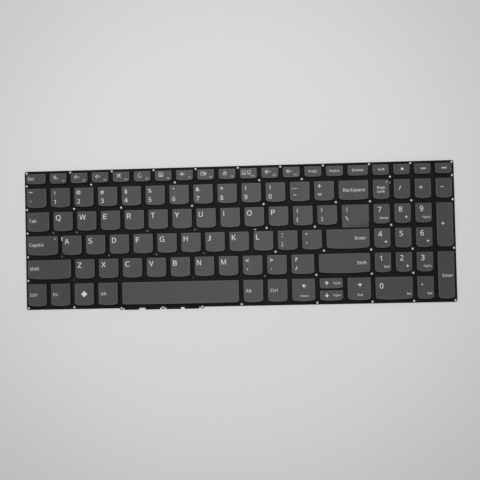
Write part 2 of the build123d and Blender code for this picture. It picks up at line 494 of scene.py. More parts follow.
def outline(low: Point, high: Point, width: float = 0.3) -> tuple[Bar, ...]:
    """Strokes along the four sides of a rectangle.

    Args:
        low: Front left corner.
        high: Rear right corner.
        width: Width of the strokes.

    Returns:
        The strokes, with closed corners.
    """
    left, front = low
    right, rear = high
    half = width / 2
    return (
        Bar((left - half, front), (right + half, front), width),
        Bar((left - half, rear), (right + half, rear), width),
        Bar((left, front), (left, rear), width),
        Bar((right, front), (right, rear), width),
    )


def rays(inner: float, outer: float, width: float = 0.32, count: int = 8) -> tuple[Bar, ...]:
    """Short strokes that point away from the middle, at even turns.

    Args:
        inner: Where they begin.
        outer: Where they end.
        width: Width of the strokes.
        count: How many there are.

    Returns:
        The strokes.
    """
    turns = [2 * math.pi * i / count for i in range(count)]
    ways = [Vector((math.cos(turn), math.sin(turn))) for turn in turns]
    return tuple(Bar(tuple(way * inner), tuple(way * outer), width) for way in ways)


SPEAKER = outline((-1.75, -0.45), (-1.15, 0.45)) + (
    Bar((-1.15, 0.45), (-0.25, 1.35), 0.38),
    Bar((-1.15, -0.45), (-0.25, -1.35), 0.38),
    Bar((-0.25, -1.5), (-0.25, 1.5), 0.38),
)
SLASH = (Bar((-1.6, 1.5), (1.6, -1.5), 0.42),)
SUN = (Ring((0.0, 0.0), 0.95, 0.4),) + rays(1.15, 1.6)
MINUS_SIGN = (Bar((1.9, 0.0), (3.1, 0.0), 0.4),)
PLUS_SIGN = MINUS_SIGN + (Bar((2.5, -0.6), (2.5, 0.6), 0.4),)
NEAR_MINUS = (Bar((0.7, 0.0), (2.1, 0.0), 0.4),)
NEAR_PLUS = NEAR_MINUS + (Bar((1.4, -0.7), (1.4, 0.7), 0.4),)


class Icon(Enum):
    """Generic signs of the function and media keys, as strokes."""

    MUTE = SPEAKER + SLASH
    QUIETER = SPEAKER + NEAR_MINUS
    LOUDER = SPEAKER + NEAR_PLUS
    MICROPHONE_OFF = (Bar((-1.5, -1.5), (0.2, 0.2), 0.4), Bar((0.1, 0.1), (1.3, 1.3), 0.95)) + SLASH
    PAD_OFF = outline((-1.7, -1.5), (1.7, 1.5)) + (Bar((-1.6, -1.0), (1.6, -1.0), 0.5),) + SLASH
    FLIGHT = (
        Bar((-1.8, 0.0), (1.9, 0.0), 0.42),
        Bar((0.5, 0.0), (-0.5, 1.5), 0.5),
        Bar((0.5, 0.0), (-0.5, -1.5), 0.5),
        Bar((-1.4, 0.0), (-1.9, 0.8), 0.4),
        Bar((-1.4, 0.0), (-1.9, -0.8), 0.4),
    )
    CAMERA_OFF = outline((-2.1, -1.3), (0.9, 1.3)) + (Blot((1.75, 0.0), 1.1, 3, 90.0),) + SLASH
    LOCK = outline((-1.3, -1.6), (1.3, 0.3)) + (
        Ring((0.0, 0.6), 0.95, 0.26),
        Bar((0.0, -1.0), (0.0, -0.3), 0.35),
    )
    SCREENS = outline((-3.3, -0.8), (-0.6, 1.2)) + outline((0.9, -0.8), (3.3, 1.2)) + (
        Bar((-3.8, -1.4), (-0.1, -1.4), 0.36),
        Bar((1.2, -1.4), (3.0, -1.4), 0.36),
    )
    DIMMER = SUN + MINUS_SIGN
    BRIGHTER = SUN + PLUS_SIGN
    PLAY_PAUSE = (
        Blot((-1.6, 0.0), 1.0, 3, -90.0),
        Bar((-0.5, -1.0), (0.5, 1.0), 0.3),
        Bar((1.3, -0.85), (1.3, 0.85), 0.42),
        Bar((2.1, -0.85), (2.1, 0.85), 0.42),
    )
    STOP = (Bar((-0.85, 0.0), (0.85, 0.0), 1.7),)
    BACK = (
        Bar((-1.8, -0.85), (-1.8, 0.85), 0.36),
        Blot((-0.5, 0.0), 0.95, 3, 90.0),
        Blot((1.1, 0.0), 0.95, 3, 90.0),
    )
    FORWARD = (
        Bar((1.8, -0.85), (1.8, 0.85), 0.36),
        Blot((0.5, 0.0), 0.95, 3, -90.0),
        Blot((-1.1, 0.0), 0.95, 3, -90.0),
    )
    DIAMOND = (Blot((0.0, 0.0), 2.5, 4),)
    TIMES = (
        Bar((0.0, -1.2), (0.0, 1.2), 0.42),
        Bar((-1.05, -0.6), (1.05, 0.6), 0.42),
        Bar((-1.05, 0.6), (1.05, -0.6), 0.42),
    )
    LAMP = (Blot((0.0, 0.0), 0.45),)
    POINT = (Blot((0.0, 0.0), 0.6),)


@dataclass(frozen=True)
class Legend:
    """One printed mark on a keycap: words in the plain sans letters of the built-in fonts, or an icon."""

    mark: str | Icon
    height: float
    side: Side
    level: Level
    inset: Point
    own_box: bool = False
    proportions: Point | None = None
    spacing: float = 1.0
    thickness: float = 0.02
    weight: float = 0.035

    CAPITAL_SHARE = 0.714
    CURVE_STEPS = 3
    FIRST_LETTERS = {"A": 0x1D5A0, "a": 0x1D5BA, "0": 0x1D7E2}
    # A heavier offset breaks the outlines of these letters.
    MOST_WEIGHT = {"M": 0.008, "W": 0.025, "1": 0.025, "g": 0.004}

    def build(self, size: Vector) -> bpy.types.Object:
        """Makes the mark as a thin raised print.

        Args:
            size: Width and depth of the keycap, in millimetres.

        Returns:
            The print, in millimetres about the middle of the keycap, with its base at height 0.
        """
        piece = self._icon() if isinstance(self.mark, Icon) else self._words()
        corners = [Vector(corner) for corner in piece.bound_box]
        left, right = min(c.x for c in corners), max(c.x for c in corners)
        low, high = (0.0, self.height)
        if self.own_box:
            low, high = min(c.y for c in corners), max(c.y for c in corners)
        across, along = self.inset
        x = {
            Side.LEFT: -size.x / 2 + across - left,
            Side.COLUMN: -size.x / 2 + across - (left + right) / 2,
            Side.MIDDLE: across - (left + right) / 2,
            Side.RIGHT_COLUMN: size.x / 2 - across - (left + right) / 2,
            Side.RIGHT: size.x / 2 - across - right,
        }[self.side]
        y = {
            Level.REAR: size.y / 2 - along - high,
            Level.MIDDLE: along - (low + high) / 2,
            Level.FRONT: -size.y / 2 + along - low,
        }[self.level]
        choose(piece)
        piece.location = (x, y, 0.0)
        bpy.ops.object.transform_apply(location=True, rotation=True, scale=True)
        return piece

    def _words(self) -> bpy.types.Object:
        """Makes the words as a closed print on their base line.

        Returns:
            The print, with its left end at about the origin.
        """
        bpy.ops.object.select_all(action="DESELECT")
        bpy.ops.object.text_add()
        text = bpy.context.object
        text.data.body = "".join(self._sans(letter) for letter in self.mark)
        text.data.size = self.height / self.CAPITAL_SHARE
        text.data.space_character = self.spacing
        text.data.resolution_u = self.CURVE_STEPS
        text.data.extrude = self.thickness / 2
        text.data.offset = min([self.weight] + [self.MOST_WEIGHT.get(c, self.weight) for c in self.mark])
        bpy.ops.object.convert(target="MESH")
        piece = bpy.context.object
        if self.proportions:
            wide, high = self.proportions
            piece.scale.x = wide * self.height / piece.dimensions.x
            piece.scale.y = high * self.height / piece.dimensions.y if high else 1.0
            bpy.ops.object.transform_apply(location=True, rotation=True, scale=True)
        with edit_mode():
            bpy.ops.mesh.select_all(action="SELECT")
            bpy.ops.mesh.remove_doubles(threshold=DOUBLES)
            bpy.ops.transform.translate(value=(0.0, 0.0, self.thickness / 2))
            bpy.ops.mesh.normals_make_consistent(inside=False)
        return piece

    def _icon(self) -> bpy.types.Object:
        """Makes the icon's strokes as one closed print.

        Returns:
            The print, about the icon's middle.
        """
        strokes = []
        for stroke in self.mark.value:
            bpy.ops.object.select_all(action="DESELECT")
            stroke.add()
            bpy.ops.object.transform_apply(location=True, rotation=True, scale=True)
            strokes.append(bpy.context.object)
        piece = joined(strokes, "icon")
        with edit_mode():
            bpy.ops.mesh.select_all(action="SELECT")
            extrude((0.0, 0.0, self.thickness))
            bpy.ops.mesh.select_all(action="SELECT")
            bpy.ops.mesh.normals_make_consistent(inside=False)
        return piece

    @classmethod
    def _sans(cls, letter: str) -> str:
        """The plain sans form of a letter or digit.

        Args:
            letter: One letter, digit or other mark.

        Returns:
            Its sans form, or the mark as it is where it has none.
        """
        for first, code in cls.FIRST_LETTERS.items():
            last = "9" if first == "0" else chr(ord(first) + 25)
            if first <= letter <= last:
                return chr(code + ord(letter) - ord(first))
        return letter


LETTER_HEIGHT = 4.0
LETTER_PLACE = (2.0, 2.7)
STROKE_LETTER_PLACE = (2.5, 2.7)
DIGIT_HEIGHT = 3.4
SYMBOL_HEIGHT = 3.1
UPPER_SIGN_MIDDLE = 3.9
UPPER_MARK_INSET = 2.5
LOWER_SIGN_MIDDLE = -3.1
LOWER_MARK_INSET = 2.85
FUNCTION_SIGN_HEIGHT = 3.0
FUNCTION_SIGN_PLACE = (4.9, 0.8)
NUMBER_TAG_PLACE = (1.9, 1.55)
OPERATOR_HEIGHT = 2.9
OPERATOR_MIDDLE = 0.9
PAD_COLUMN = 4.7
PAD_ARROW_PLACE = (3.7, 3.85)
SIDE_WORD_PLACE = (1.7, 3.75)
EVEN = (1.0, 1.0)
WORD_HEIGHT = 2.4
SMALL_WORD_HEIGHT = 2.0
SIDE_WORD_HEIGHT = 1.6
NUMBER_TAG_HEIGHT = 1.35
ARROW_HEIGHT = 3.2
SMALL_ARROW_HEIGHT = 2.2
WORD_SPACING = 1.06
WORD_WEIGHT = 0.015
TAG_WEIGHT = 0.0

LETTER_WIDTHS = {
    "A": 0.89, "B": 0.77, "C": 0.89, "D": 0.82, "E": 0.74, "F": 0.69, "G": 0.92, "H": 0.79, "I": 0.15,
    "J": 0.57, "K": 0.82, "L": 0.64, "M": 0.96, "N": 0.79, "O": 0.97, "P": 0.75, "Q": 0.97, "R": 0.83,
    "S": 0.80, "T": 0.81, "U": 0.79, "V": 0.87, "W": 1.27, "X": 0.88, "Y": 0.89, "Z": 0.79,
}


class SignShape(NamedTuple):
    """Width and height of a sign as shares of its line, with 0 for as drawn, and its lift in millimetres."""

    wide: float
    high: float
    lift: float = 0.0


SIGN_SHAPES = {
    "{": SignShape(0.42, 1.0), "}": SignShape(0.42, 1.0),
    "[": SignShape(0.36, 1.0), "]": SignShape(0.36, 1.0),
    "(": SignShape(0.36, 1.15), ")": SignShape(0.36, 1.15), "|": SignShape(0.13, 1.05),
    "\\": SignShape(0.75, 1.0), "/": SignShape(0.66, 1.0), "@": SignShape(1.15, 1.05),
    "?": SignShape(0.6, 1.0), "~": SignShape(0.95, 0.3, 0.9), "`": SignShape(0.32, 0.32, 0.65),
    "_": SignShape(1.5, 0.0, -1.5), "-": SignShape(0.8, 0.0, 0.5), "+": SignShape(0.85, 0.85),
    "=": SignShape(0.95, 0.0, 0.45), "*": SignShape(0.75, 0.75, 0.3), "^": SignShape(0.6, 0.35, 0.9),
    ":": SignShape(0.28, 0.95), ";": SignShape(0.36, 1.1), "\"": SignShape(0.45, 0.4, 0.7),
    "'": SignShape(0.18, 0.4, 0.7), "<": SignShape(0.85, 0.85), ">": SignShape(0.85, 0.85),
    ",": SignShape(0.28, 0.5), ".": SignShape(0.24, 0.24), "&": SignShape(0.98, 1.0),
}


def letter(mark: str) -> tuple[Legend, ...]:
    """Print of a letter key: one capital to the rear left.

    Args:
        mark: The capital; I is drawn as a plain stroke.

    Returns:
        The legend.
    """
    own_box = mark in "IJ"
    shape = (LETTER_WIDTHS[mark], 1.0 if own_box else 0.0)
    place = STROKE_LETTER_PLACE if mark == "I" else LETTER_PLACE
    return (Legend(mark.replace("I", "|"), LETTER_HEIGHT, Side.LEFT, Level.REAR, place, own_box, shape),)


def sign(mark: str, height: float, column: float, middle: float) -> Legend:
    """A sign of the shape listed for it, about a given middle.

    Args:
        mark: The sign.
        height: Height of its line.
        column: Middle of the sign, from the left edge of the key.
        middle: Middle of its line, from the middle of the key.

    Returns:
        The legend.
    """
    shape = SIGN_SHAPES[mark]
    place = (column, middle + shape.lift)
    return Legend(mark, height, Side.COLUMN, Level.MIDDLE, place, True, (shape.wide, shape.high))


def pair(upper: str, lower: str, column: float = 3.5) -> tuple[Legend, ...]:
    """Print of a key with a sign above a digit or another sign.

    Args:
        upper: The sign to the rear.
        lower: The sign or digit to the front.
        column: Middle of both, from the left edge of the key.

    Returns:
        Both legends.
    """
    if upper in SIGN_SHAPES:
        above = sign(upper, SYMBOL_HEIGHT, column, UPPER_SIGN_MIDDLE)
    else:
        above = Legend(upper, SYMBOL_HEIGHT, Side.COLUMN, Level.REAR, (column, UPPER_MARK_INSET))
    if lower in SIGN_SHAPES:
        below = sign(lower, SYMBOL_HEIGHT, column, LOWER_SIGN_MIDDLE)
    else:
        below = Legend(lower, DIGIT_HEIGHT, Side.COLUMN, Level.FRONT, (column, LOWER_MARK_INSET))
    return (above, below)


def word(
    text: str, side: Side = Side.LEFT, inset: float = 1.8, height: float = WORD_HEIGHT, lift: float = 0.2,
) -> tuple[Legend, ...]:
    """Print of a key with a word at mid depth.

    Args:
        text: The word.
        side: Where it sits across the key.
        inset: How far it is from there.
        height: Height of its capitals.
        lift: How far it lies behind the middle of the key.

    Returns:
        The legend.
    """
    place = (inset, lift)
    return (Legend(text, height, side, Level.MIDDLE, place, spacing=WORD_SPACING, weight=WORD_WEIGHT),)


def function(number: int, mark: str | Icon) -> tuple[Legend, ...]:
    """Print of a function key: a sign left of its middle and its number at the front right.

    Args:
        number: The key's number.
        mark: The sign.

    Returns:
        Both legends.
    """
    typed = isinstance(mark, str)
    height = FUNCTION_SIGN_HEIGHT if typed else 0.0
    return (
        Legend(mark, height, Side.COLUMN, Level.MIDDLE, FUNCTION_SIGN_PLACE, typed, weight=TAG_WEIGHT),
        Legend(f"F{number}", NUMBER_TAG_HEIGHT, Side.RIGHT, Level.FRONT, NUMBER_TAG_PLACE, weight=TAG_WEIGHT),
    )


def side_word(text: str) -> tuple[Legend, ...]:
    """Print of the small word to the front right of a number pad key."""
    return (Legend(text, SIDE_WORD_HEIGHT, Side.RIGHT, Level.FRONT, SIDE_WORD_PLACE, spacing=WORD_SPACING),)


def pad_digit(digit: str, other: str = "", rear: float = 2.5) -> tuple[Legend, ...]:
    """Print of a number pad key: a digit and, to the front right, what the key does unlocked.

    Args:
        digit: The digit.
        other: A short word or an arrow, or nothing.
        rear: How far the digit is from the rear edge of the key.

    Returns:
        The legends.
    """
    legends = (Legend(digit, LETTER_HEIGHT, Side.COLUMN, Level.REAR, (PAD_COLUMN, rear)),)
    if other and other in ARROWS:
        legends += (
            Legend(other, SMALL_ARROW_HEIGHT, Side.RIGHT_COLUMN, Level.FRONT, PAD_ARROW_PLACE, True, EVEN),
        )
    elif other:
        legends += side_word(other)
    return legends


def operator(mark: str | Icon) -> tuple[Legend, ...]:
    """Print of a number pad key with one sign of arithmetic.

    Args:
        mark: The sign.

    Returns:
        The legend.
    """
    if isinstance(mark, Icon):
        return (Legend(mark, 0.0, Side.COLUMN, Level.MIDDLE, (PAD_COLUMN, OPERATOR_MIDDLE)),)
    return (sign(mark, OPERATOR_HEIGHT, PAD_COLUMN, OPERATOR_MIDDLE - SIGN_SHAPES[mark].lift),)


def arrow_over_word(arrow: str, text: str) -> tuple[Legend, ...]:
    """Print of a wide arrow key: an arrow to the rear and a small word to the front."""
    return (
        Legend(arrow, ARROW_HEIGHT, Side.MIDDLE, Level.MIDDLE, (0.4, 3.2), True, EVEN, weight=TAG_WEIGHT),
    ) + word(text, Side.MIDDLE, 0.5, SIDE_WORD_HEIGHT, -4.6)


def arrow_and_word(arrow: str, text: str) -> tuple[Legend, ...]:
    """Print of a half-depth arrow key: an arrow with a small word on its right."""
    return (
        Legend(arrow, ARROW_HEIGHT, Side.COLUMN, Level.MIDDLE, (5.5, 0.2), True, EVEN, weight=TAG_WEIGHT),
    ) + word(text, Side.RIGHT, 2.0, SIDE_WORD_HEIGHT)


LEFT_ARROW, UP_ARROW, RIGHT_ARROW, DOWN_ARROW = ARROWS = "\U0001F808\U0001F809\U0001F80A\U0001F80B"
FUNCTION_SIGNS = (
    Icon.MUTE, Icon.QUIETER, Icon.LOUDER, Icon.MICROPHONE_OFF, "\u21BB", Icon.PAD_OFF,
    Icon.FLIGHT, Icon.CAMERA_OFF, Icon.LOCK, Icon.SCREENS, Icon.DIMMER, Icon.BRIGHTER,
)
MEDIA_ICONS = (Icon.PLAY_PAUSE, Icon.STOP, Icon.BACK, Icon.FORWARD)
LETTERS = "qwertyuiopasdfghjklzxcvbnm"
DIGIT_SIGNS = ("!1", "@2", "#3", "$4", "%5", "^6", "&7", "*8", "(9", ")0")

FUNCTION_ROW_PRINT = (
    [word("Esc", inset=1.6)]
    + [function(number, mark) for number, mark in enumerate(FUNCTION_SIGNS, 1)]
    + [word(text, Side.MIDDLE, 0.0, SMALL_WORD_HEIGHT) for text in ("PrtSc", "Insert", "Delete")]
    + [(Legend(icon, 0.0, Side.MIDDLE, Level.MIDDLE, (0.5, 0.2)),) for icon in MEDIA_ICONS]
)
NUMBER_ROW_PRINT = (
    [pair("~", "`", 3.4)]
    + [pair(upper, digit) for upper, digit in DIGIT_SIGNS]
    + [pair("_", "-", 3.8), pair("+", "=", 4.2), word("Backspace", Side.RIGHT, 2.7)]
)
NUM_LOCK_PRINT = (
    Legend("Num", SMALL_WORD_HEIGHT, Side.MIDDLE, Level.MIDDLE, (0.0, 1.5)),
    Legend("Lock", SMALL_WORD_HEIGHT, Side.MIDDLE, Level.MIDDLE, (0.0, -1.5)),
    Legend(Icon.LAMP, 0.0, Side.RIGHT_COLUMN, Level.REAR, (1.9, 2.0)),
)
NUMBER_PAD_PRINT = [
    NUM_LOCK_PRINT, operator("/"), operator(Icon.TIMES), operator("-"),
    pad_digit("7", "Home"), pad_digit("8", UP_ARROW), pad_digit("9", "PgUp"),
    pad_digit("4", LEFT_ARROW), pad_digit("5"), pad_digit("6", RIGHT_ARROW),
    pad_digit("1", "End"), pad_digit("2", DOWN_ARROW), pad_digit("3", "PgDn"),
    (Legend(Icon.POINT, 0.0, Side.COLUMN, Level.REAR, (3.7, 6.4)),) + side_word("Del"),
]
CAPS_LOCK_PRINT = word("CapsLk", lift=0.8) + (
    Legend(Icon.LAMP, 0.0, Side.RIGHT_COLUMN, Level.REAR, (2.3, 2.5)),
)
SINGLE_KEY_PRINT = {name: letter(name.upper()) for name in LETTERS} | {
    "tab": word("Tab", lift=0.9), "caps_lock": CAPS_LOCK_PRINT, "left_shift": word("Shift", lift=0.8),
    "left_bracket": pair("{", "["), "right_bracket": pair("}", "]"), "backslash": pair("|", "\\", 4.1),
    "semicolon": pair(":", ";"), "apostrophe": pair("\"", "'"),
    "enter": word("Enter", Side.RIGHT, 2.9, lift=0.5),
    "comma": pair("<", ","), "period": pair(">", "."), "slash": pair("?", "/", 3.9),
    "right_shift": word("Shift", Side.RIGHT, 2.9), "left_ctrl": word("Ctrl"), "fn": word("Fn", inset=2.1),
    "system": (Legend(Icon.DIAMOND, 0.0, Side.MIDDLE, Level.MIDDLE, (0.0, 0.2)),),
    "left_alt": word("Alt", inset=2.1), "space": (), "right_alt": word("Alt", inset=1.9),
    "right_ctrl": word("Ctrl", inset=2.2),
    "arrow_left": arrow_over_word(LEFT_ARROW, "Home"), "arrow_right": arrow_over_word(RIGHT_ARROW, "End"),
    "arrow_up": arrow_and_word(UP_ARROW, "PgUp"), "arrow_down": arrow_and_word(DOWN_ARROW, "PgDn"),
    "pad_plus": operator("+"),
    "pad_enter": word("Enter", Side.RIGHT, 1.5, 2.2, lift=-0.4), "pad_0": pad_digit("0", "Ins", 5.0),
}


@dataclass
class Keycap:
    """A moulded keycap: drafted walls, a soft rim, a dished top and a hollow underside."""

    box: Box
    prints: tuple[Legend, ...]
    ledge_depth: float = 0.0
    rear_radius: float = 0.7
    rear_steps: int = 4
    front_radius: float = 1.8
    front_steps: int = 6
    bow: float = 0.9
    bow_cuts: int = 9
    draft: float = 0.19
    rim_radius: float = 0.28
    rim_steps: int = 3
    dish_steps: tuple[tuple[float, float], ...] = ((0.20, 0.030), (0.30, 0.012))
    wall: float = 1.1
    crown: float = 1.0
    ledge_drop: float = 0.4
    ledge_radius: float = 1.26
    ledge_steps: int = 5
    sink: float = 0.008
    templates: dict[tuple, bpy.types.Object] = field(default_factory=dict)

    @property
    def size(self) -> Vector:
        """Width, depth and height of the cap without its ledge, in millimetres."""
        size = self.box.size / MM
        return Vector((size.x, size.y - self.ledge_depth, size.z))

    @property
    def print_height(self) -> float:
        """Height of the flat of the dish above the skirt, where the print lies."""
        return self.size.z - sum(drop for _, drop in self.dish_steps) - self.sink

    def build(self, name: str) -> bpy.types.Object:
        """Makes the printed cap at its place.

        Args:
            name: The name of the piece.

        Returns:
            The finished piece.
        """
        key = (round(self.size.x, 2), round(self.size.y, 2), self.bow)
        if key not in self.templates:
            self.templates[key] = self._blank()
        cap = copy_of(self.templates[key])
        marks = []
        if self.ledge_depth:
            marks.append(self._ledge())
        for legend in self.prints:
            mark = legend.build(self.size)
            mark.data.materials.append(LEGEND_INK.material())
            choose(mark)
            mark.location.z = self.print_height
            bpy.ops.object.transform_apply(location=True, rotation=True, scale=True)
            marks.append(mark)
        piece = joined([cap] + marks, name)
        middle = self.box.middle
        settle(piece, Vector((middle.x, middle.y + self.ledge_depth * MM / 2, self.box.low.z)))
        return piece

    def _outline(self, width: float, depth: float) -> None:
        """Adds a face about the origin with a square rear and a bowed, rounded front edge.

        Args:
            width: Width of the face.
            depth: Depth of the face with its bow.
        """
        shoulder = self.bow - depth / 2 + TOLERANCE
        straight = width / 2 - self.front_radius + TOLERANCE
        bpy.ops.object.select_all(action="DESELECT")
        bpy.ops.mesh.primitive_plane_add(size=1.0)
        with edit_mode():
            bpy.ops.transform.resize(value=(width, depth - self.bow, 1.0))
            bpy.ops.transform.translate(value=(0.0, self.bow / 2, 0.0))
            select(Pick.VERT, lambda vert: vert.co.y > 0.0)
            bpy.ops.mesh.bevel(offset=self.rear_radius, segments=self.rear_steps, affect="VERTICES")
            select(Pick.VERT, lambda vert: vert.co.y < shoulder)
            bpy.ops.mesh.bevel(offset=self.front_radius, segments=self.front_steps, affect="VERTICES")
            select(
                Pick.EDGE,
                lambda edge: all(v.co.y < shoulder and abs(v.co.x) < straight for v in edge.verts),
            )
            bpy.ops.mesh.subdivide(number_cuts=self.bow_cuts)
            self._push_bow(width, depth)

    def _push_bow(self, width: float, depth: float) -> None:
        """Pushes the front edge forward, most at its middle, as an arc does.

        Args:
            width: Width of the face.
            depth: Depth of the face with its bow.
        """
        corner = self.bow + self.front_radius - depth / 2 - TOLERANCE
        shape = bmesh.from_edit_mesh(bpy.context.object.data)
        reaches = {round(abs(vert.co.x), 3) for vert in shape.verts if vert.co.y < corner}
        for reach in reaches:
            select(Pick.VERT, lambda v: v.co.y < corner and abs(abs(v.co.x) - reach) < TOLERANCE / 5)
            push = self.bow * (1.0 - (2.0 * reach / width) ** 2)
            bpy.ops.transform.translate(value=(0.0, -push, 0.0))

    def _blank(self) -> bpy.types.Object:
        """Makes an unprinted cap.

        Returns:
            The cap, about the middle of its plan, with its skirt at height 0.
        """
        width, depth, height = self.size
        self._outline(width, depth)
        with edit_mode():
            bpy.ops.mesh.select_all(action="SELECT")
            extrude((0.0, 0.0, height))
            bpy.ops.transform.resize(
                value=(1.0 - 2.0 * self.draft / width, 1.0 - 2.0 * self.draft / depth, 1.0),
                center_override=(0.0, 0.0, height),
            )
            bpy.ops.mesh.region_to_loop()
            bpy.ops.mesh.bevel(offset=self.rim_radius, segments=self.rim_steps, affect="EDGES")
            top = height - TOLERANCE
            select(Pick.FACE, lambda face: face.normal.z > 0.99 and face.calc_center_median().z > top)
            for run, drop in self.dish_steps:
                bpy.ops.mesh.inset(thickness=run, depth=-drop)
            select(Pick.FACE, lambda face: face.calc_center_median().z < TOLERANCE)
            bpy.ops.mesh.inset(thickness=self.wall)
            extrude((0.0, 0.0, height - self.crown))
            bpy.ops.mesh.select_all(action="SELECT")
            bpy.ops.mesh.normals_make_consistent(inside=False)
        blank = self._finished("cap_blank")
        self._gloss_and_highlight_rim(height)
        return blank

    def _gloss_and_highlight_rim(self, height: float) -> None:
        """Gives the rim of the active cap, with the first slope of its dish, a glossier finish and a lighter
        tone that paints a highlight along its edges.

        Args:
            height: Height of the cap.
        """
        low = height - self.rim_radius
        bpy.context.object.data.materials.append(CAP_RIM_GLOSS_AND_HIGHLIGHT.material())
        with edit_mode():
            select(Pick.FACE, lambda face: 0.1 < face.normal.z < 0.995 and face.calc_center_median().z > low)
            bpy.context.object.active_material_index = 1
            bpy.ops.object.material_slot_assign()

    def _ledge(self) -> bpy.types.Object:
        """Makes the low ledge in front of a cap, which reaches under its front edge.

        Returns:
            The ledge, about the middle of the cap's plan.
        """
        width, depth, height = self.size
        overlap = self.bow + self.wall / 2
        front = -depth / 2 - self.ledge_depth + TOLERANCE
        bpy.ops.object.select_all(action="DESELECT")
        bpy.ops.mesh.primitive_plane_add(size=1.0)
        with edit_mode():
            bpy.ops.transform.resize(value=(width, self.ledge_depth + overlap, 1.0))
            bpy.ops.transform.translate(value=(0.0, (overlap - self.ledge_depth - depth) / 2, 0.0))
            select(Pick.VERT, lambda vert: vert.co.y < front)
            bpy.ops.mesh.bevel(offset=self.ledge_radius, segments=self.ledge_steps, affect="VERTICES")
            bpy.ops.mesh.select_all(action="SELECT")
            extrude((0.0, 0.0, height - self.ledge_drop))
            bpy.ops.transform.resize(
                value=(1.0 - 2.0 * self.draft / width, 1.0, 1.0), center_override=(0.0, 0.0, 0.0),
            )
            bpy.ops.mesh.region_to_loop()
            bpy.ops.mesh.bevel(offset=self.rim_radius, segments=self.rim_steps, affect="EDGES")
            bpy.ops.mesh.select_all(action="SELECT")
            bpy.ops.mesh.normals_make_consistent(inside=False)
        return self._finished("cap_ledge")

    @staticmethod
    def _finished(name: str) -> bpy.types.Object:
        """Smooths the active object and gives it the cap's plastic.

        Args:
            name: The name of the object.

        Returns:
            The object.
        """
        bpy.ops.object.shade_smooth_by_angle(angle=SMOOTH_ANGLE)
        piece = bpy.context.object
        piece.name = name
        piece.data.materials.append(CAP_PLASTIC.material())
        return piece


@dataclass
class KeyField:
    """All keycaps: single ones that travel, and those that share a row's or the pad's node."""

    groups: dict[str, tuple[str, list]] = field(default_factory=lambda: {
        "function_row_keys": ("function_row_keycaps", FUNCTION_ROW_PRINT),
        "number_row_keys": ("number_row_keycaps", NUMBER_ROW_PRINT),
        "number_pad_keys": ("number_pad_keycaps", NUMBER_PAD_PRINT),
    })
    prefix: str = "key_"
    ledged_key: str = "backslash"
    straight_keys: tuple[str, ...] = ("space", "arrow_up", "function_row_keys")
    slight_bow: float = 0.3
    templates: dict[tuple, bpy.types.Object] = field(default_factory=dict)

    def names(self) -> list[str]:
        """Names of the keys that travel by themselves."""
        return sorted(node[len(self.prefix):] for node in frame["nodes"] if node.startswith(self.prefix))

    def build(self) -> list[Box]:
        """Builds every keycap and sets it on its body.

        Returns:
            The places of the keys that don't travel.
        """
        row = Box(*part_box(self.prefix + "p"))
        for name in self.names():
            place = Box(*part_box(self.prefix + name))
            ledge = (row.low.y - place.low.y) / MM if name == self.ledged_key else 0.0
            cap = Keycap(place, SINGLE_KEY_PRINT[name], ledge, bow=self._bow(name), templates=self.templates)
            self._dress(cap.build(f"keycap_{name}"), f"{name}_key", self.prefix + name)
        still = []
        for node, (piece_name, prints) in self.groups.items():
            places = self._in_reading_order(loose_boxes(node))
            caps = [
                Keycap(place, legends, bow=self._bow(node), templates=self.templates)
                for place, legends in zip(places, prints, strict=True)
            ]
            parts = [cap.build(f"{piece_name}_part") for cap in caps]
            self._dress(joined(parts, piece_name), FIXED_BODY, node)
            still += places
        for blank in self.templates.values():
            bpy.data.objects.remove(blank)
        return still

    def _bow(self, name: str) -> float:
        """How far the front edge of a key, or of a group of keys, bows out."""
        return self.slight_bow if name in self.straight_keys else Keycap.bow

    @staticmethod
    def _in_reading_order(boxes: list[Box]) -> list[Box]:
        """Sorts boxes by row from the rear, then from left to right."""
        return sorted(boxes, key=lambda box: (-round(box.high.y / MM), box.low.x))

    @staticmethod
    def _dress(piece: bpy.types.Object, body: str, node: str) -> None:
        """Sets a finished keycap on its body in place of its node.

        Args:
            piece: The keycap, or the keycaps of a group.
            body: The body that it rides on.
            node: The node that it stands for.
        """
        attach(piece, body)
        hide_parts(node)
        LOG.info("%s rides on %s, %d faces", piece.name, body, len(piece.data.polygons))


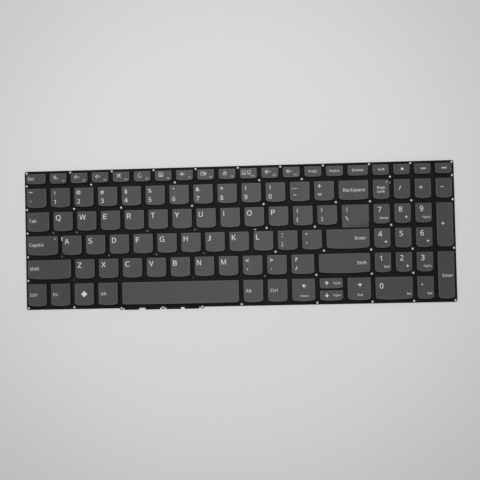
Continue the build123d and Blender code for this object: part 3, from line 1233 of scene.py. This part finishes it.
@dataclass
class Supports:
    """What stands under each keycap: a rubber dome between two slanted scissor arms."""

    dome_node: str = "rubber_domes"
    link_node: str = "scissor_links"
    dome_sides: int = 12
    flange: float = 0.3
    dome_profile: tuple[tuple[float, float], ...] = ((2.45, 0.45), (2.1, 1.3), (1.75, 2.1), (1.6, 2.6))
    plunger_wall: float = 0.5
    plunger_dip: float = 0.2
    arm_foot: float = 1.5
    arm_soft: float = 0.2
    arm_steps: int = 2
    pressed_share: float = 0.0
    domes: list[Box] = field(default_factory=list)
    arms: list[Box] = field(default_factory=list)
    templates: dict[tuple, bpy.types.Object] = field(default_factory=dict)

    def build(self, keys: list[str], still: list[Box], travel: float) -> None:
        """Builds the supports of every key.

        Args:
            keys: Names of the keys that travel by themselves.
            still: Places of the keys that don't.
            travel: How far a key travels, in metres.
        """
        self.domes = loose_boxes(self.dome_node)
        self.arms = loose_boxes(self.link_node)
        height = self.domes[0].size.z
        self.pressed_share = (height - travel) / height
        for name in keys:
            place = Box(*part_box(f"key_{name}"))
            piece = joined(self._stand(place), f"support_{name}")
            self._dress(piece)
            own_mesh(piece)
        parts = [part for place in still for part in self._stand(place)]
        self._dress(joined(parts, "support_of_fixed_keys"))
        for template in self.templates.values():
            bpy.data.objects.remove(template)

    def _stand(self, place: Box) -> list[bpy.types.Object]:
        """Makes the dome and the two arms that stand under one key.

        Args:
            place: Where the key is.

        Returns:
            The parts at their places.
        """
        parts = [self._set(dome, 0.0) for dome in self.domes if place.covers(dome.middle)]
        arms = sorted((arm for arm in self.arms if place.covers(arm.middle)), key=lambda arm: arm.low.x)
        return parts + [self._set(arm, lean) for arm, lean in zip(arms, (1.0, -1.0))]

    def _set(self, box: Box, lean: float) -> bpy.types.Object:
        """Sets a copy of a dome, or of an arm with a lean, in its box.

        Args:
            box: Where the part stands.
            lean: 0 for a dome, 1 for an arm that leans to the rear, -1 for one that leans to the front.

        Returns:
            The part at its place.
        """
        size = box.size / MM
        key = (round(size.y, 2), lean)
        if key not in self.templates:
            self.templates[key] = self._arm(size, lean) if lean else self._dome(size)
        part = copy_of(self.templates[key])
        settle(part, Vector((box.middle.x, box.middle.y, box.low.z)))
        return part

    def _dome(self, size: Vector) -> bpy.types.Object:
        """Makes a dome with a flange, a drafted skirt and a plunger on top.

        Args:
            size: Size of its box, in millimetres.

        Returns:
            The dome, with the middle of its foot at the origin.
        """
        radius = size.x / 2
        bpy.ops.object.select_all(action="DESELECT")
        bpy.ops.mesh.primitive_circle_add(vertices=self.dome_sides, radius=radius, fill_type="NGON")
        with edit_mode():
            bpy.ops.mesh.select_all(action="SELECT")
            extrude((0.0, 0.0, self.flange))
            last_radius, last_height = radius, self.flange
            for next_radius, next_height in self.dome_profile:
                extrude((0.0, 0.0, next_height - last_height))
                share = next_radius / last_radius
                bpy.ops.transform.resize(value=(share, share, 1.0), center_override=(0.0, 0.0, next_height))
                last_radius, last_height = next_radius, next_height
            bpy.ops.mesh.inset(thickness=self.plunger_wall, depth=-self.plunger_dip)
        return self._finished(DOME_RUBBER)

    def _arm(self, size: Vector, lean: float) -> bpy.types.Object:
        """Makes a slanted arm.

        Args:
            size: Size of its box, in millimetres.
            lean: 1 to lean to the rear, -1 to lean to the front.

        Returns:
            The arm, with the middle of its box's floor at the origin.
        """
        width, reach, height = size
        bpy.ops.object.select_all(action="DESELECT")
        bpy.ops.mesh.primitive_plane_add(size=1.0)
        with edit_mode():
            bpy.ops.transform.resize(value=(width, self.arm_foot, 1.0))
            bpy.ops.transform.translate(value=(0.0, lean * (self.arm_foot - reach) / 2, 0.0))
            extrude((0.0, lean * (reach - self.arm_foot), height))
            select(Pick.EDGE, lambda edge: abs(edge.verts[0].co.z - edge.verts[1].co.z) > height / 2)
            bpy.ops.mesh.bevel(offset=self.arm_soft, segments=self.arm_steps, affect="EDGES")
        return self._finished(LINK_PLASTIC)

    @staticmethod
    def _finished(finish: Finish) -> bpy.types.Object:
        """Turns the active part's faces outward, smooths it and gives it its finish.

        Args:
            finish: The finish.

        Returns:
            The part.
        """
        with edit_mode():
            bpy.ops.mesh.select_all(action="SELECT")
            bpy.ops.mesh.normals_make_consistent(inside=False)
        bpy.ops.object.shade_smooth_by_angle(angle=SMOOTH_ANGLE)
        part = bpy.context.object
        part.data.materials.append(finish.material())
        return part

    def _dress(self, piece: bpy.types.Object) -> None:
        """Sets finished supports on the plate in place of the plain ones.

        Args:
            piece: The supports of one key, or of all keys that don't travel.
        """
        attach(piece, FIXED_BODY)
        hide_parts(self.dome_node, self.link_node)
        LOG.info("%s, %d faces", piece.name, len(piece.data.polygons))


@dataclass
class Backing:
    """The stamped plate, the switch membrane that lies on it and the discs of painted shade in the stake
    holes.
    """

    plate_node: str = "base_plate"
    membrane_node: str = "membrane"
    hole_steps: int = 24
    hole_limit: tuple[float, float] = (1.5, 1.8)
    hole_spare: float = 0.01
    flat_angle: float = 1.0
    edge_soft: float = 0.06
    edge_steps: int = 2
    edge_angle: float = 60.0
    window_corner: float = 0.6
    window_steps: int = 4
    window_limit: tuple[float, float] = (2.5, 2.7)
    window_reach: float = 2.2275
    wall_least: float = 0.1
    # Where the hole discs paint grey shade, darker shade by the space bar, and grey shade again right of the
    # middle.
    grey_reach: tuple[Point, Point] = ((-160.0, -20.0), (0.0, 10.0))
    dark_reach: tuple[Point, Point] = ((-160.0, -45.0), (0.0, -20.0))
    pale_reach: tuple[Point, Point] = ((0.0, -45.0), (22.0, -20.0))
    shade_disc_level: float = 0.06
    shade_disc_thickness: float = 0.1

    def build(self) -> None:
        """Builds both sheets and the discs of painted shade in the holes, and sets them on the fixed body."""
        plate = self._sheet(self.plate_node, "stamped_plate")
        holes = self._round_holes(plate)
        apply_modifier(
            plate, "BEVEL", width=self.edge_soft * MM, segments=self.edge_steps, limit_method="ANGLE",
            angle_limit=math.radians(self.edge_angle),
        )
        self._dress(plate, self.plate_node, "plate", PLATE_PAINT)
        membrane = self._sheet(self.membrane_node, "switch_membrane")
        self._round_windows(membrane)
        self._dress(membrane, self.membrane_node, "membrane", MEMBRANE_FILM)
        self._films(holes)

    def _sheet(self, node: str, name: str) -> bpy.types.Object:
        """Copies a sheet's node, with its loose triangles merged to whole faces.

        Args:
            node: The node.
            name: The name of the piece.

        Returns:
            The sheet's piece.
        """
        piece = copy_of(frame["nodes"][node])
        piece.name = name
        piece.data.name = name
        piece.data.materials.clear()
        with edit_mode():
            bpy.ops.mesh.select_all(action="SELECT")
            bpy.ops.mesh.remove_doubles(threshold=NODE_DOUBLES)
            bpy.ops.mesh.dissolve_limited(angle_limit=math.radians(self.flat_angle))
        return piece

    def _round_holes(self, plate: bpy.types.Object) -> list[Box]:
        """Cuts every stake hole of the plate to a smooth round.

        Args:
            plate: The plate's piece.

        Returns:
            The places of the holes.
        """
        least, most = (limit * MM for limit in self.hole_limit)
        walls = loose_boxes(self.plate_node, upright)
        holes = [box for box in walls if least < box.size.x < most and box.size.y < most]
        cutters = []
        for box in holes:
            bpy.ops.object.select_all(action="DESELECT")
            bpy.ops.mesh.primitive_cylinder_add(
                vertices=self.hole_steps, radius=box.size.x / 2 + self.hole_spare * MM,
                depth=3.0 * box.size.z, location=box.middle,
            )
            bpy.ops.object.transform_apply(location=True, rotation=True, scale=True)
            cutters.append(bpy.context.object)
        cutter = joined(cutters, "hole_cutter")
        apply_modifier(plate, "BOOLEAN", operation="DIFFERENCE", solver="EXACT", object=cutter)
        bpy.data.objects.remove(cutter)
        return holes

    def _films(self, holes: list[Box]) -> None:
        """Closes the stake holes left of the middle with grey discs of painted shade, darkest by the space
        bar.

        Args:
            holes: The places of all stake holes.
        """
        template = self._film(holes[0].size.x / 2 / MM + 2 * self.hole_spare)
        shade_pieces = []
        reaches = (self.grey_reach, self.dark_reach, self.pale_reach)
        for reach, finish in zip(reaches, (GREY_HOLE_SHADE, DARK_HOLE_SHADE, GREY_HOLE_SHADE)):
            (left, front), (right, rear) = reach
            for middle in (hole.middle for hole in holes):
                if left < middle.x / MM < right and front < middle.y / MM < rear:
                    shade_piece = copy_of(template)
                    shade_piece.data.materials.append(finish.material())
                    settle(shade_piece, Vector((middle.x, middle.y, self.shade_disc_level * MM)))
                    shade_pieces.append(shade_piece)
        bpy.data.objects.remove(template)
        piece = joined(shade_pieces, "hole_films")
        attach(piece, FIXED_BODY)
        LOG.info("%s, %d faces", piece.name, len(piece.data.polygons))

    def _film(self, radius: float) -> bpy.types.Object:
        """Makes one slightly sagging disc of painted shade for a stake hole.

        Args:
            radius: Radius of the disc.

        Returns:
            The disc, about the origin.
        """
        bpy.ops.object.select_all(action="DESELECT")
        bpy.ops.mesh.primitive_circle_add(vertices=self.hole_steps, radius=radius, fill_type="NGON")
        with edit_mode():
            bpy.ops.mesh.select_all(action="SELECT")
            extrude((0.0, 0.0, self.shade_disc_thickness))
            bpy.ops.mesh.inset(thickness=radius / 3, depth=-self.shade_disc_thickness / 4)
            bpy.ops.mesh.select_all(action="SELECT")
            bpy.ops.mesh.normals_make_consistent(inside=False)
        return bpy.context.object

    def _round_windows(self, membrane: bpy.types.Object) -> None:
        """Rounds the corners of the windows in the membrane.

        Args:
            membrane: The membrane's piece.
        """
        least, most = (limit * MM for limit in self.window_limit)
        walls = loose_boxes(self.membrane_node, upright)
        windows = [box for box in walls if least < box.size.x < most]
        choose(membrane)
        with edit_mode():
            select(
                Pick.EDGE,
                lambda edge: abs(edge.verts[0].co.z - edge.verts[1].co.z) > self.wall_least * MM
                and any(self._is_by(edge.verts[0].co, box) for box in windows),
            )
            bpy.ops.mesh.bevel(offset=self.window_corner * MM, segments=self.window_steps, affect="EDGES")

    def _is_by(self, point: Vector, window: Box) -> bool:
        """Whether a point lies near the middle of a window as seen from above."""
        return (point - window.middle).to_2d().length < self.window_reach * MM

    @staticmethod
    def _dress(piece: bpy.types.Object, node: str, slot: str, finish: Finish) -> None:
        """Finishes a sheet and sets it on the fixed body in place of its node.

        Args:
            piece: The sheet's piece.
            node: The node that it stands for.
            slot: The record's slot for its finish; not used.
            finish: The finish.
        """
        choose(piece)
        bpy.ops.object.shade_smooth_by_angle(angle=SHEET_SMOOTH_ANGLE)
        piece.data.materials.append(finish.material())
        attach(piece, FIXED_BODY)
        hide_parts(node)
        LOG.info("%s, %d faces", piece.name, len(piece.data.polygons))


@dataclass
class Studio:
    """Floor, soft overhead light and the camera above the keyboard."""

    floor_size: float = 4.0
    floor_drop: float = 0.05
    lamp_place: tuple[float, float, float] = (-0.038, 0.115, 0.75)
    lamp_size: float = 0.5
    lamp_power: float = 4.0
    fill: float = 0.32
    backdrop: float = 0.72
    camera_place: tuple[float, float, float] = (15.20, -9.00, 412.52)
    camera_turn: tuple[float, float, float] = (0.841, 1.892, -1.305)
    lens: float = 39.0
    sensor: float = 36.0

    def build(self) -> None:
        """Builds the stage."""
        self._floor()
        self._lamp()
        self._world()
        self._camera()
        bpy.context.scene.view_settings.view_transform = "Standard"

    def _floor(self) -> None:
        """Adds the pale table."""
        bpy.ops.object.select_all(action="DESELECT")
        bpy.ops.mesh.primitive_plane_add(size=self.floor_size, location=(0.0, 0.0, -self.floor_drop * MM))
        bpy.ops.object.transform_apply(location=True, rotation=True, scale=True)
        floor = bpy.context.object
        floor.name = "table"
        floor.data.materials.append(TABLE_PAPER.material())

    def _lamp(self) -> None:
        """Adds the soft lamp overhead."""
        bpy.ops.object.light_add(type="AREA", location=self.lamp_place)
        lamp = bpy.context.object.data
        lamp.size = self.lamp_size
        lamp.energy = self.lamp_power

    def _world(self) -> None:
        """Lights the room evenly, and shows a pale backdrop behind the table."""
        world = bpy.data.worlds.new("room")
        bpy.context.scene.world = world
        world.use_nodes = True
        nodes, links = world.node_tree.nodes, world.node_tree.links
        path = nodes.new("ShaderNodeLightPath")
        level = nodes.new("ShaderNodeMapRange")
        level.inputs["To Min"].default_value = self.fill
        level.inputs["To Max"].default_value = self.backdrop
        links.new(path.outputs["Is Camera Ray"], level.inputs["Value"])
        background = nodes["Background"]
        background.inputs["Color"].default_value = (1.0, 1.0, 1.0, 1.0)
        links.new(level.outputs["Result"], background.inputs["Strength"])

    def _camera(self) -> None:
        """Adds the camera where the photograph was taken from."""
        bpy.ops.object.camera_add(
            location=[length * MM for length in self.camera_place],
            rotation=[math.radians(turn) for turn in self.camera_turn],
        )
        camera = bpy.context.object
        camera.data.sensor_width = self.sensor
        camera.data.lens = self.lens
        bpy.context.scene.camera = camera


def main() -> None:
    """Builds the keyboard's pieces in order, then the stage."""
    logging.basicConfig(level=logging.INFO, format="%(message)s")
    travel = max(joint["range_m"][1] for joint in frame["record"]["behaviour"]["joints"])
    Backing().build()
    keys = KeyField()
    still = keys.build()
    Supports().build(keys.names(), still, travel)
    Studio().build()


if __name__ == "__main__":
    main()
